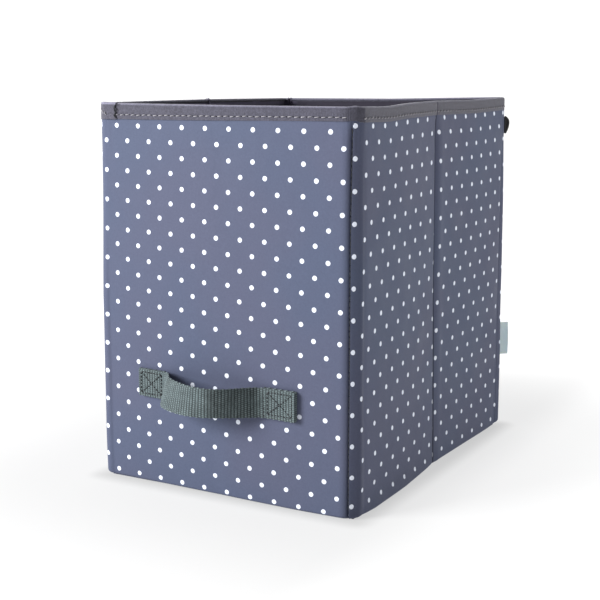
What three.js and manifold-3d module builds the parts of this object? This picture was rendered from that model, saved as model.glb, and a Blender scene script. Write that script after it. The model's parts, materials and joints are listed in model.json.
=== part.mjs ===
// Collapsible fabric storage bin: board-stiffened walls under dotted fabric, taped rim, strap handle.
// Millimetres, +Z up, the front (handle side) faces -Y. The origin is the middle of the underside.
import * as THREE from 'three';
import Module from 'manifold-3d';
import { mergeVertices } from 'three/addons/utils/BufferGeometryUtils.js';

const wasm = await Module();
wasm.setup();

// Overall size
const WIDTH = 232;
const DEPTH = 300;
const HEIGHT = 304;

// Wall lay-up, from the outside in
const GAP = 0.3;
const COVER_T = 0.8;
const BOARD_T = 2;
const LINING_T = 0.6;
const TAPE_T = 0.5;
const COVER_D = TAPE_T + GAP;
const BOARD_D = COVER_D + COVER_T + GAP;
const LINING_D = BOARD_D + BOARD_T + GAP;
const WALL_T = LINING_D + LINING_T + GAP + TAPE_T;

// Rim tape
const TAPE_HEIGHT = 12.5;
const TAPE_INNER_HEIGHT = 3;
const TAPE_TOP_T = 0.6;
const WALL_TOP = HEIGHT - TAPE_TOP_T - GAP;

// Bottom: a shallow fabric tray, the lift-up base panel in it, and the walls above both
const TRAY_T = 1;
const TRAY_RIM_T = 1.2;
const TRAY_RIM_TOP = 5.4;
const UNDER_T = 0.5;
const UNDER_BOTTOM = TRAY_T + GAP;
const UNDER_TOP = UNDER_BOTTOM + UNDER_T;
const BASE_BOARD_BOTTOM = UNDER_TOP + GAP;
const BASE_BOARD_TOP = BASE_BOARD_BOTTOM + BOARD_T;
const BASE_LINING_BOTTOM = BASE_BOARD_TOP + GAP;
const BASE_TOP = BASE_LINING_BOTTOM + LINING_T;
const WALL_BOTTOM = 6;

// Fold geometry: a vertical hinge line at each corner, and one at each side wall's crease
const CORNER_R = 9;
const CORNER_FABRIC_T = 1.2;
const HINGE_INSET = 10.8;
const HINGE_Y = DEPTH / 2 - HINGE_INSET;
const CREASE_INSET = 4.5;
const CREASE_GAP = 0.5;
const CORNER_GAP = 0.6;
const CORNER_SPAN = 10.5;
const LEAN = Math.atan2(CREASE_INSET, HINGE_Y);

// Base panel
const BASE_END_GAP = 0.8;
const BASE_SIDE_GAP = 1.6;
const BASE_HINGE_Y = DEPTH / 2 - WALL_T - BASE_END_GAP;
const BASE_HALF_WIDTH = WIDTH / 2 - CREASE_INSET - WALL_T - BASE_SIDE_GAP;
const BASE_LENGTH = 2 * (BASE_HINGE_Y - GAP);

// Strap handle on the front wall
const WEB_WIDTH = 24.5;
const WEB_T = 1.6;
const PAD_T = 2.8;
const PAD_LENGTH = 27;
const HANDLE_Z = 83.7;
const PAD_LEFT_X = -65;
const PAD_RIGHT_X = 51.5;
const FACE_Y = -(DEPTH / 2 - COVER_D);
const STRAP_LEFT_CUT = -46;
const STRAP_RIGHT_CUT = 31;
// Middle line of the strap between its sewn ends: [x, distance out from the wall's face]
const BOW_POINTS = [
  [-52, 1.2], [-48, 5], [-42, 14.5], [-28, 24.5], [-8, 29.5],
  [6, 28], [18, 20.5], [27, 12], [34, 5.8], [42, 1.6],
];

// Small trim in the back right corner seam
const LABEL = { length: 10, thickness: 1.2, wall: 0.4, height: 30, z: 68 };
const LOOP = { cord: 3.2, reach: 3.2, rise: 5.6, z: 279.5 };

const PAINT = {
  dotted: { color: 0x7d8396, roughness: 0.55, metalness: 0 },
  board: { color: 0xa08a6c, roughness: 0.9, metalness: 0 },
  lining: { color: 0x4a4450, roughness: 0.85, metalness: 0 },
  tape: { color: 0x716f77, roughness: 0.8, metalness: 0 },
  webbing: { color: 0x626c6b, roughness: 0.75, metalness: 0 },
  label: { color: 0xdcdcdc, roughness: 0.6, metalness: 0 },
  cord: { color: 0x17171a, roughness: 0.7, metalness: 0 },
};

function mesh(name, geometry, paint) {
  const part = new THREE.Mesh(geometry, new THREE.MeshStandardMaterial(PAINT[paint]));
  part.name = name;
  return part;
}

function box(x0, x1, y0, y1, z0, z1) {
  const geometry = new THREE.BoxGeometry(x1 - x0, y1 - y0, z1 - z0);
  return geometry.translate((x0 + x1) / 2, (y0 + y1) / 2, (z0 + z1) / 2);
}

function extruded(shape, z0, z1, curveSegments = 6) {
  const geometry = new THREE.ExtrudeGeometry(shape, { depth: z1 - z0, bevelEnabled: false, curveSegments });
  return geometry.translate(0, 0, z0);
}

function toSolid(geometry) {
  const bare = geometry.clone();
  bare.deleteAttribute('normal');
  bare.deleteAttribute('uv');
  const merged = mergeVertices(bare.index ? bare.toNonIndexed() : bare, 1e-4);
  const vertProperties = new Float32Array(merged.attributes.position.array);
  const triVerts = new Uint32Array(merged.index.array);
  return new wasm.Manifold(new wasm.Mesh({ numProp: 3, vertProperties, triVerts }));
}

function toGeometry(solid) {
  const result = solid.getMesh();
  const geometry = new THREE.BufferGeometry();
  geometry.setAttribute('position', new THREE.BufferAttribute(result.vertProperties, 3));
  geometry.setIndex(new THREE.BufferAttribute(result.triVerts, 1));
  return geometry;
}

function joined(first, ...others) {
  return toGeometry(others.reduce((sum, geometry) => sum.add(toSolid(geometry)), toSolid(first)));
}

function cut(geometry, tool) {
  return toGeometry(toSolid(geometry).subtract(toSolid(tool)));
}

// End wall: plan outline of the front wall and its two corners, set in from the outside by near..far
function endWallBand(near, far) {
  const cx = WIDTH / 2 - CORNER_R;
  const cy = -DEPTH / 2 + CORNER_R;
  const shape = new THREE.Shape();
  shape.moveTo(-WIDTH / 2 + near, -HINGE_Y);
  shape.absarc(-cx, cy, CORNER_R - near, Math.PI, 1.5 * Math.PI, false);
  shape.absarc(cx, cy, CORNER_R - near, 1.5 * Math.PI, 2 * Math.PI, false);
  shape.lineTo(WIDTH / 2 - near, -HINGE_Y);
  shape.lineTo(WIDTH / 2 - far, -HINGE_Y);
  shape.absarc(cx, cy, CORNER_R - far, 2 * Math.PI, 1.5 * Math.PI, true);
  shape.absarc(-cx, cy, CORNER_R - far, 1.5 * Math.PI, Math.PI, true);
  shape.lineTo(-WIDTH / 2 + far, -HINGE_Y);
  return shape;
}

// Tape folded over the top edge of an end wall and round its corners
function endTape() {
  const skirtTop = HEIGHT - TAPE_TOP_T / 2;
  return joined(
    extruded(endWallBand(0, WALL_T), HEIGHT - TAPE_TOP_T, HEIGHT),
    extruded(endWallBand(0, TAPE_T), HEIGHT - TAPE_HEIGHT, skirtTop),
    extruded(endWallBand(WALL_T - TAPE_T, WALL_T), HEIGHT - TAPE_INNER_HEIGHT, skirtTop),
  );
}

// Unstiffened fabric round one corner, between the end wall's board and the side wall's board
function cornerFold(side) {
  const near = COVER_D;
  const far = COVER_D + CORNER_FABRIC_T;
  const cx = WIDTH / 2 - CORNER_R;
  const cy = -DEPTH / 2 + CORNER_R;
  const shape = new THREE.Shape();
  shape.moveTo(WIDTH / 2 - CORNER_SPAN, -DEPTH / 2 + near);
  shape.absarc(cx, cy, CORNER_R - near, 1.5 * Math.PI, 2 * Math.PI, false);
  shape.lineTo(WIDTH / 2 - near, -HINGE_Y);
  shape.lineTo(WIDTH / 2 - far, -HINGE_Y);
  shape.absarc(cx, cy, CORNER_R - far, 2 * Math.PI, 1.5 * Math.PI, true);
  shape.lineTo(WIDTH / 2 - CORNER_SPAN, -DEPTH / 2 + far);
  const geometry = extruded(shape, WALL_BOTTOM, WALL_TOP);
  if (side > 0) return geometry;
  return toGeometry(toSolid(geometry).mirror([1, 0, 0]));
}

function endPanel(depthIn, thickness) {
  const half = WIDTH / 2 - CORNER_SPAN - GAP;
  const y0 = -DEPTH / 2 + depthIn;
  return box(-half, half, y0, y0 + thickness, WALL_BOTTOM, WALL_TOP);
}

// One end wall, modelled as the front wall; the back wall is the same turned half a turn
function endWall(name, leftHandCorner, rightHandCorner) {
  const wall = new THREE.Group();
  wall.add(mesh(`${name}_cover`, endPanel(COVER_D, COVER_T), 'dotted'));
  wall.add(mesh(`${name}_board`, endPanel(BOARD_D, BOARD_T), 'board'));
  wall.add(mesh(`${name}_lining`, endPanel(LINING_D, LINING_T), 'lining'));
  wall.add(mesh(`${name}_rim_tape`, endTape(), 'tape'));
  wall.add(mesh(`corner_fold_${leftHandCorner}`, cornerFold(-1), 'dotted'));
  wall.add(mesh(`corner_fold_${rightHandCorner}`, cornerFold(1), 'dotted'));
  return wall;
}

function halfTape(length) {
  const shape = new THREE.Shape();
  const foot = HEIGHT - TAPE_HEIGHT;
  const innerFoot = HEIGHT - TAPE_INNER_HEIGHT;
  shape.moveTo(0, foot);
  shape.lineTo(-TAPE_T, foot);
  shape.lineTo(-TAPE_T, HEIGHT - TAPE_TOP_T);
  shape.lineTo(TAPE_T - WALL_T, HEIGHT - TAPE_TOP_T);
  shape.lineTo(TAPE_T - WALL_T, innerFoot);
  shape.lineTo(-WALL_T, innerFoot);
  shape.lineTo(-WALL_T, HEIGHT);
  shape.lineTo(0, HEIGHT);
  const geometry = new THREE.ExtrudeGeometry(shape, { depth: length, bevelEnabled: false });
  return geometry.rotateX(Math.PI / 2).translate(0, length, 0);
}

// Half of a side wall, modelled as the right front half: its outer face is the plane x = 0 and it
// runs from y = 0 at the corner to the crease, then it is leaned in and set on the corner.
function sideHalf(name) {
  const length = HINGE_Y / Math.cos(LEAN) - CREASE_GAP - CORNER_GAP;
  const wall = new THREE.Group();
  const panel = (depthIn, thickness) =>
    box(-depthIn - thickness, -depthIn, 0, length, WALL_BOTTOM, WALL_TOP);
  wall.add(mesh(`${name}_cover`, panel(COVER_D, COVER_T), 'dotted'));
  wall.add(mesh(`${name}_board`, panel(BOARD_D, BOARD_T), 'board'));
  wall.add(mesh(`${name}_lining`, panel(LINING_D, LINING_T), 'lining'));
  wall.add(mesh(`${name}_rim_tape`, halfTape(length), 'tape'));
  return wall;
}

// Places a side half by the quarter it stands in: right or left (sx), front or rear (sy)
function placedSideHalf(name, sx, sy) {
  const wall = sideHalf(name);
  wall.position.set((sx * WIDTH) / 2, sy * (HINGE_Y - CORNER_GAP), 0);
  if (sx * sy < 0) {
    wall.rotation.z = (sx > 0 ? 0 : Math.PI) + LEAN;
    return wall;
  }
  wall.children.forEach((part) => {
    part.geometry = toGeometry(toSolid(part.geometry).mirror([0, 1, 0]));
  });
  wall.rotation.z = (sx > 0 ? 0 : Math.PI) - LEAN;
  return wall;
}

function trayOutline(inset) {
  const x = WIDTH / 2 - COVER_D - inset;
  const y = DEPTH / 2 - COVER_D - inset;
  const r = CORNER_R - COVER_D - inset;
  const shape = new THREE.Shape();
  shape.absarc(x - r, -y + r, r, 1.5 * Math.PI, 2 * Math.PI, false);
  shape.absarc(x - r, y - r, r, 0, 0.5 * Math.PI, false);
  shape.absarc(-x + r, y - r, r, 0.5 * Math.PI, Math.PI, false);
  shape.absarc(-x + r, -y + r, r, Math.PI, 1.5 * Math.PI, false);
  return shape;
}

function bottomCover() {
  const outside = extruded(trayOutline(0), 0, TRAY_RIM_TOP);
  const inside = extruded(trayOutline(TRAY_RIM_T), TRAY_T, TRAY_RIM_TOP + 1);
  return mesh('bottom_cover', cut(outside, inside), 'dotted');
}

// Stiff panel that lies in the bottom and is sewn to the foot of the front wall
function basePanel() {
  const panel = new THREE.Group();
  const y0 = -BASE_HINGE_Y + GAP;
  const layer = (z0, z1) => box(-BASE_HALF_WIDTH, BASE_HALF_WIDTH, y0, y0 + BASE_LENGTH, z0, z1);
  panel.add(mesh('base_underside', layer(UNDER_BOTTOM, UNDER_TOP), 'lining'));
  panel.add(mesh('base_board', layer(BASE_BOARD_BOTTOM, BASE_BOARD_TOP), 'board'));
  panel.add(mesh('base_lining', layer(BASE_LINING_BOTTOM, BASE_TOP), 'lining'));
  return panel;
}

// The strap's plan outline: the bow curve with its thickness
function strapShape() {
  const curve = new THREE.SplineCurve(BOW_POINTS.map(([x, out]) => new THREE.Vector2(x, -out)));
  const outer = [];
  const inner = [];
  const steps = 60;
  for (let i = 0; i <= steps; i += 1) {
    const point = curve.getPoint(i / steps);
    const along = curve.getTangent(i / steps);
    const side = new THREE.Vector2(along.y, -along.x).multiplyScalar(WEB_T / 2);
    outer.push(point.clone().add(side));
    inner.unshift(point.clone().sub(side));
  }
  return new THREE.Shape([...outer, ...inner]);
}

// The strap between two upright planes, so that it can turn beside its sewn ends
function strapPiece(xFrom, xTo) {
  const z0 = HANDLE_Z - WEB_WIDTH / 2;
  const strap = extruded(strapShape(), z0, z0 + WEB_WIDTH).translate(0, FACE_Y - GAP, 0);
  return toGeometry(toSolid(strap).trimByPlane([1, 0, 0], xFrom).trimByPlane([-1, 0, 0], -xTo));
}

// Sewn end: the webbing folded under itself, and the start of the bow up to the cut at xCut
function handleEnd(name, padX, xCut) {
  const z0 = HANDLE_Z - WEB_WIDTH / 2;
  const y1 = FACE_Y - GAP;
  const pad = box(padX - PAD_LENGTH / 2, padX + PAD_LENGTH / 2, y1 - PAD_T, y1, z0, z0 + WEB_WIDTH);
  const flare = strapPiece(Math.min(padX, xCut), Math.max(padX, xCut));
  return mesh(name, joined(pad, flare), 'webbing');
}

function handleStrap() {
  return mesh('handle_strap', strapPiece(STRAP_LEFT_CUT + GAP, STRAP_RIGHT_CUT - GAP), 'webbing');
}

// Moves a piece to the back right corner seam, its +X pointing out of the corner
function onBackRightCorner(part, z) {
  const centre = new THREE.Vector2(WIDTH / 2 - CORNER_R, DEPTH / 2 - CORNER_R);
  const reach = (CORNER_R - COVER_D + GAP) * Math.SQRT1_2;
  part.position.set(centre.x + reach, centre.y + reach, z);
  part.rotation.z = Math.PI / 4;
  return part;
}

function careLabel() {
  const { length, thickness, wall, height, z } = LABEL;
  const shape = new THREE.Shape();
  shape.moveTo(0, -thickness / 2);
  shape.absarc(length - thickness / 2, 0, thickness / 2, -Math.PI / 2, Math.PI / 2, false);
  shape.lineTo(0, thickness / 2);
  shape.lineTo(0, thickness / 2 - wall);
  shape.absarc(length - thickness / 2, 0, thickness / 2 - wall, Math.PI / 2, -Math.PI / 2, true);
  shape.lineTo(0, wall - thickness / 2);
  return onBackRightCorner(mesh('care_label', extruded(shape, 0, height), 'label'), z);
}

function hangLoop() {
  const ends = [-1, 1].map((side) => new THREE.Vector3(0, 0, side * LOOP.rise));
  const middle = new THREE.Vector3(2 * LOOP.reach, 0, 0);
  const path = new THREE.QuadraticBezierCurve3(ends[0], middle, ends[1]);
  const section = new THREE.Shape();
  section.absarc(0, 0, LOOP.cord / 2, 0, 2 * Math.PI, false);
  const geometry = new THREE.ExtrudeGeometry(section, { steps: 14, extrudePath: path, curveSegments: 8 });
  geometry.translate(LOOP.cord / 2, 0, 0);
  return onBackRightCorner(mesh('hang_loop', geometry, 'cord'), LOOP.z);
}

const bin = new THREE.Group();
bin.add(endWall('front', 'front_left', 'front_right'));
const back = endWall('back', 'back_right', 'back_left');
back.rotation.z = Math.PI;
bin.add(back);
bin.add(placedSideHalf('right_front', 1, -1));
bin.add(placedSideHalf('right_rear', 1, 1));
bin.add(placedSideHalf('left_front', -1, -1));
bin.add(placedSideHalf('left_rear', -1, 1));
bin.add(bottomCover());
bin.add(basePanel());
bin.add(handleEnd('handle_end_left', PAD_LEFT_X, STRAP_LEFT_CUT));
bin.add(handleStrap());
bin.add(handleEnd('handle_end_right', PAD_RIGHT_X, STRAP_RIGHT_CUT));
bin.add(careLabel());
bin.add(hangLoop());

export default bin;
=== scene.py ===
import json
import math

import bmesh
import bpy
import numpy as np
from mathutils import Matrix, Vector


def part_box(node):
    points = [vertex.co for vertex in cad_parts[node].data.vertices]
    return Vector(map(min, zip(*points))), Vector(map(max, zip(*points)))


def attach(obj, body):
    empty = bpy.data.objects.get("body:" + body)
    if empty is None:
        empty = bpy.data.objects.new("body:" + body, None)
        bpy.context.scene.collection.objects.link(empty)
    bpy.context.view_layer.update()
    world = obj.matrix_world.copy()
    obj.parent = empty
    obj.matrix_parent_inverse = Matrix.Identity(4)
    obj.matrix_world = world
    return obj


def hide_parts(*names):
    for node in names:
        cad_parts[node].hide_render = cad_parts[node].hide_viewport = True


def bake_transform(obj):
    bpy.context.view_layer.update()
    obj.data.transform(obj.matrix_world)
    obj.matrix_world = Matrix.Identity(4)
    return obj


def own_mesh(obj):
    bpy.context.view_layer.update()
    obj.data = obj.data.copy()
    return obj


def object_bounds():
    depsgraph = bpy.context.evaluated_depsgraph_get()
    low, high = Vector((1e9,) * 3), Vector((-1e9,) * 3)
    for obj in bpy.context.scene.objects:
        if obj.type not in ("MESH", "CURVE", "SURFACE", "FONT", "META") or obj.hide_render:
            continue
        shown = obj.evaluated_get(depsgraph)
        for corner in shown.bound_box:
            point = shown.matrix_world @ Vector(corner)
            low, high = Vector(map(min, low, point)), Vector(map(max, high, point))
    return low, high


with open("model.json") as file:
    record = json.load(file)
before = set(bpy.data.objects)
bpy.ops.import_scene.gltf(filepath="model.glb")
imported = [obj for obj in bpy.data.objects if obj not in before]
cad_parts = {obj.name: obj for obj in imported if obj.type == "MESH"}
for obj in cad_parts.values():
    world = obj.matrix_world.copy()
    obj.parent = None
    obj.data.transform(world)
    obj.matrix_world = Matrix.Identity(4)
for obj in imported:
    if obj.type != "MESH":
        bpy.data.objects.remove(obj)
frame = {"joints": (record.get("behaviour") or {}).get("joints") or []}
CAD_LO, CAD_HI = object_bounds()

MM = 0.001

# ---------------------------------------------------------------- camera, light and floor
# The camera stands in front of the right front corner, a little above the rim, and aims at a point
# AIM_DROP below it. CAMERA_RIGHT and CAMERA_UP shift it sideways and up without turning it.
AZIMUTH = math.radians(29.1315)
ELEVATION = math.radians(10.485)
DISTANCE = 1.09732
CAMERA_RIGHT = -0.01333
CAMERA_UP = -0.02099
LENS = 76.428
SENSOR = 36
CLIP = (0.05, 30)
AIM_DROP = 0.15
# The sky is dim in front of the bin and bright behind it. It turns from one to the other as the
# cosine of the angle from straight behind goes from the first of SKY_TURN to the second.
SKY_FRONT = 0.12
SKY_BACK = 1.12
SKY_TURN = (0.15, 0.8)
# Each lamp: place, target, size and power
LAMPS = {
    "key": ((-1.7, -2.05, 1.08), (0, -0.1, 0.16), 1.2, 110),
    "side": ((1.7, 1.15, 0.5), (0.11, 0.05, 0.15), 0.9, 7.5),
}
FLOOR_HALF = 9


def make_camera():
    """The camera, DISTANCE away in the direction of AZIMUTH and ELEVATION."""
    ce, se = math.cos(ELEVATION), math.sin(ELEVATION)
    back = Vector((math.sin(AZIMUTH) * ce, -math.cos(AZIMUTH) * ce, se))
    right = Vector((math.cos(AZIMUTH), math.sin(AZIMUTH), 0))
    up = back.cross(right)
    data = bpy.data.cameras.new("camera")
    data.lens = LENS
    data.sensor_width = SENSOR
    data.clip_start, data.clip_end = CLIP
    cam = bpy.data.objects.new("camera", data)
    bpy.context.scene.collection.objects.link(cam)
    eye = Vector((0, 0, CAD_HI.z - AIM_DROP)) + back * DISTANCE + right * CAMERA_RIGHT + up * CAMERA_UP
    axes = Matrix((right, up, back)).transposed().to_4x4()
    cam.matrix_world = Matrix.Translation(eye) @ axes
    bpy.context.scene.camera = cam


def area_light(name, spot, target, size, power):
    """A square lamp at spot, turned to the target."""
    data = bpy.data.lights.new(name, "AREA")
    data.shape = "SQUARE"
    data.size = size
    data.energy = power
    light = bpy.data.objects.new(name, data)
    bpy.context.scene.collection.objects.link(light)
    light.location = spot
    light.rotation_euler = (Vector(target) - Vector(spot)).to_track_quat("-Z", "Y").to_euler()


def make_light():
    """The sky and the lamps."""
    world = bpy.data.worlds.new("studio")
    bpy.context.scene.world = world
    world.use_nodes = True
    tree = world.node_tree
    sky = tree.nodes["Background"]
    sky.inputs["Color"].default_value = (1, 1, 1, 1)
    direction = tree.nodes.new("ShaderNodeTexCoord").outputs["Generated"]
    toward = tree.nodes.new("ShaderNodeVectorMath")
    toward.operation = "DOT_PRODUCT"
    toward.inputs[1].default_value = (-math.sin(AZIMUTH), math.cos(AZIMUTH), 0)
    tree.links.new(direction, toward.inputs[0])
    ramp = tree.nodes.new("ShaderNodeMapRange")
    ramp.interpolation_type = "SMOOTHSTEP"
    levels = zip(("From Min", "From Max", "To Min", "To Max"), (*SKY_TURN, SKY_FRONT, SKY_BACK))
    for name, value in levels:
        ramp.inputs[name].default_value = value
    tree.links.new(toward.outputs["Value"], ramp.inputs["Value"])
    tree.links.new(ramp.outputs[0], sky.inputs["Strength"])
    for name, settings in LAMPS.items():
        area_light(name, *settings)
    bpy.context.scene.view_settings.view_transform = "Standard"


def make_floor(material):
    """A wide flat floor under the bin."""
    mesh = bpy.data.meshes.new("floor")
    corners = [(sx * FLOOR_HALF, sy * FLOOR_HALF, 0) for sx, sy in ((-1, -1), (1, -1), (1, 1), (-1, 1))]
    mesh.from_pydata(corners, [], [(0, 1, 2, 3)])
    floor = bpy.data.objects.new("floor", mesh)
    bpy.context.scene.collection.objects.link(floor)
    mesh.materials.append(material)


# ---------------------------------------------------------------- materials
class Net:
    """A small helper that builds one Principled material from nodes."""

    def __init__(self, name, roughness, sheen=0.0, sheen_roughness=0.5, gloss=0.2):
        self.material = bpy.data.materials.new(name)
        self.material.use_nodes = True
        self.tree = self.material.node_tree
        self.shader = self.tree.nodes["Principled BSDF"]
        self.shader.inputs["Roughness"].default_value = roughness
        self.shader.inputs["Sheen Weight"].default_value = sheen
        self.shader.inputs["Sheen Roughness"].default_value = sheen_roughness
        self.shader.inputs["Specular IOR Level"].default_value = gloss

    def node(self, kind, inputs=(), **props):
        made = self.tree.nodes.new(kind)
        for key, value in props.items():
            setattr(made, key, value)
        for key, value in dict(inputs).items():
            self.put(made.inputs[key], value)
        return made

    def put(self, socket, value):
        if isinstance(value, bpy.types.NodeSocket):
            self.tree.links.new(value, socket)
        else:
            socket.default_value = value

    def math(self, operation, a, b=0.0, c=0.0):
        return self.node("ShaderNodeMath", {0: a, 1: b, 2: c}, operation=operation).outputs[0]

    def range(self, value, lo, hi, to_lo=0.0, to_hi=1.0, smooth=False):
        made = self.node(
            "ShaderNodeMapRange",
            {"Value": value, "From Min": lo, "From Max": hi, "To Min": to_lo, "To Max": to_hi},
            interpolation_type="SMOOTHSTEP" if smooth else "LINEAR",
        )
        return made.outputs[0]

    def mix(self, factor, a, b):
        made = self.node("ShaderNodeMix", data_type="RGBA")
        self.put(made.inputs[0], factor)
        for socket, value in ((made.inputs[6], a), (made.inputs[7], b)):
            self.put(socket, (*value, 1) if isinstance(value, tuple) else value)
        return made.outputs[2]

    def scaled(self, colour, factor):
        made = self.node("ShaderNodeVectorMath", operation="SCALE")
        self.put(made.inputs[0], colour)
        self.put(made.inputs["Scale"], factor)
        return made.outputs[0]

    def noise(self, scale, detail=2.0, roughness=0.5, vector=None):
        inputs = {"Scale": scale, "Detail": detail, "Roughness": roughness}
        inputs["Vector"] = vector or self.node("ShaderNodeTexCoord").outputs["Object"]
        return self.node("ShaderNodeTexNoise", inputs).outputs[0]

    def at(self):
        """The point's x, y and z in the bin's own frame."""
        where = self.node("ShaderNodeTexCoord").outputs["Object"]
        return self.node("ShaderNodeSeparateXYZ", {0: where}).outputs

    def cloth(self):
        """The two cloth coordinates, in millimetres along and up the fabric."""
        uv = self.node("ShaderNodeUVMap", uv_map="cloth").outputs[0]
        split = self.node("ShaderNodeSeparateXYZ", {0: uv}).outputs
        return split[0], split[1]

    def wave(self, value, pitch, phase=0.0):
        """0 to 1 and back once in each pitch."""
        turn = self.math("MULTIPLY_ADD", value, 2 * math.pi / pitch, phase)
        return self.math("MULTIPLY_ADD", self.math("SINE", turn), 0.5, 0.5)

    def bump(self, height, strength, distance, below=None):
        inputs = {"Height": height, "Strength": strength, "Distance": distance}
        made = self.node("ShaderNodeBump", inputs)
        if below is not None:
            self.tree.links.new(below, made.inputs["Normal"])
        return made.outputs[0]

    def done(self, colour, normal=None, roughness=None):
        self.put(self.shader.inputs["Base Color"], (*colour, 1) if isinstance(colour, tuple) else colour)
        if normal is not None:
            self.tree.links.new(normal, self.shader.inputs["Normal"])
        if roughness is not None:
            self.tree.links.new(roughness, self.shader.inputs["Roughness"])
        return self.material


# The y of the side walls' crease at the foot and at the rim
CREASE_LOW = 3.4 * MM
CREASE_HIGH = -2.0 * MM
# The printed dots stand in a staggered grid, at every second crossing of these columns and rows. All
# these are millimetres of cloth, as are the yarns' pitches.
DOT_COLUMN = 10.485
DOT_ROW = 11.656
DOT_RADIUS = 1.88
WARP_PITCH, WEFT_PITCH = 0.62, 0.48
TAPE_RIB, TAPE_THREAD = 1.15, 0.55
LINING_PITCH = 0.8
CORD_TWIST = 0.9
# The webbing's ribs across its length, and the picks along each rib
RIB_PITCH = 2.45 * MM
PICK_PITCH = 1.63 * MM
# The floor glows by its distance from a rectangle this far inside the bin's outline
FOOTPRINT_INSET = 6 * MM


def from_corner(net):
    """Distance from the upright line down the middle of the front right corner."""
    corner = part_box("corner_fold_front_right")
    middle = (corner[0] + corner[1]) / 2
    where = net.node("ShaderNodeTexCoord").outputs["Object"]
    level = net.node("ShaderNodeVectorMath", {0: where, 1: (1, 1, 0)}, operation="MULTIPLY").outputs[0]
    inputs = {0: level, 1: (middle.x, middle.y, 0)}
    return net.node("ShaderNodeVectorMath", inputs, operation="DISTANCE").outputs["Value"]


def dotted_fabric():
    """The outer cloth: a fine blue-grey weave with small white dots printed on it."""
    net = Net("dotted_fabric", 0.5, 0.0, 0.35, gloss=0.08)
    along, up = net.cloth()

    def to_dot(shift):
        gaps = []
        for value, pitch in ((along, DOT_COLUMN), (up, DOT_ROW)):
            turns = net.math("MULTIPLY_ADD", value, 0.5 / pitch, 0.5 + shift)
            part = net.math("SUBTRACT", net.math("FRACT", turns), 0.5)
            gap = net.math("MULTIPLY", part, 2 * pitch)
            gaps.append(net.math("MULTIPLY", gap, gap))
        return net.math("SQRT", net.math("ADD", *gaps))

    distance = net.math("MINIMUM", to_dot(0.0), to_dot(0.5))
    ragged = net.math("MULTIPLY_ADD", net.noise(900, 1), 0.3, distance)
    dot = net.range(ragged, DOT_RADIUS + 0.27, DOT_RADIUS + 0.03, smooth=True)
    warp, weft = net.wave(along, WARP_PITCH), net.wave(up, WEFT_PITCH)
    weave = net.math("MULTIPLY", warp, weft)
    tint = net.range(net.noise(9, 2), 0.35, 0.65, smooth=True)
    ground = net.mix(tint, (0.093, 0.111, 0.176), (0.101, 0.111, 0.173))
    yarn = net.range(net.noise(700, 2), 0.2, 0.8, 0.94, 1.06)
    ground = net.scaled(ground, net.math("MULTIPLY", yarn, net.range(weave, 0, 1, 0.97, 1.03)))
    ink = net.mix(net.noise(300, 1), (0.82, 0.87, 0.99), (0.86, 0.9, 1.0))
    soft = net.bump(net.noise(55, 2), 0.12, 0.003)
    fine = net.bump(weave, 0.18, 0.00012, soft)
    printed = net.bump(dot, 0.35, 0.00008, fine)
    rough = net.range(net.noise(40, 2), 0.3, 0.7, 0.46, 0.56)
    # Painted shade: the cloth is darkened along the crease, where the fold's shadow falls, and at the front
    # right corner.
    _, y, z = net.at()
    beside = net.math("MULTIPLY_ADD", z, (CREASE_LOW - CREASE_HIGH) / CAD_HI.z, y)
    beside = net.math("ABSOLUTE", net.math("SUBTRACT", beside, CREASE_LOW + 0.9 * MM))
    line = net.range(beside, 0.0006, 0.0018, 0.5, 1.0)
    crease_shade = net.math("MULTIPLY", line, net.range(beside, 0.0, 0.007, 0.88, 1.0))
    ground = net.scaled(ground, net.range(from_corner(net), 0.004, 0.012, 0.82, 1.0, smooth=True))
    return net.done(net.scaled(net.mix(dot, ground, ink), crease_shade), printed, rough)


def ribbed_tape():
    """Grey tape with upright ribs, paler along the rim where it catches the light."""
    net = Net("rim_tape", 0.82, 0.35, 0.5)
    along, up = net.cloth()
    sway = net.math("MULTIPLY_ADD", net.noise(220, 1), 0.8, along)
    rib = net.wave(sway, TAPE_RIB)
    yarn = net.wave(up, TAPE_THREAD)
    fuzz = net.noise(900, 3)
    tone = net.math("MULTIPLY_ADD", rib, 0.16, net.range(fuzz, 0.25, 0.75, 0.62, 1.18))
    tone = net.math("MULTIPLY", tone, net.range(net.noise(350, 2, 0.7), 0.3, 0.7, 0.84, 1.16))
    rim = CAD_HI.z / MM
    tone = net.math("MULTIPLY", tone, net.range(up, rim - 1.9, rim - 0.5, 1.0, 3.1, smooth=True))
    # Painted shade: the tape is darkened round the front right corner.
    tone = net.math("MULTIPLY", tone, net.range(from_corner(net), 0.003, 0.014, 0.78, 1.0, smooth=True))
    colour = net.scaled(net.mix(net.noise(30, 2), (0.074, 0.073, 0.102), (0.084, 0.081, 0.11)), tone)
    normal = net.bump(rib, 0.45, 0.0003)
    normal = net.bump(yarn, 0.2, 0.00015, normal)
    return net.done(colour, net.bump(fuzz, 0.5, 0.0003, normal))


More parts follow.
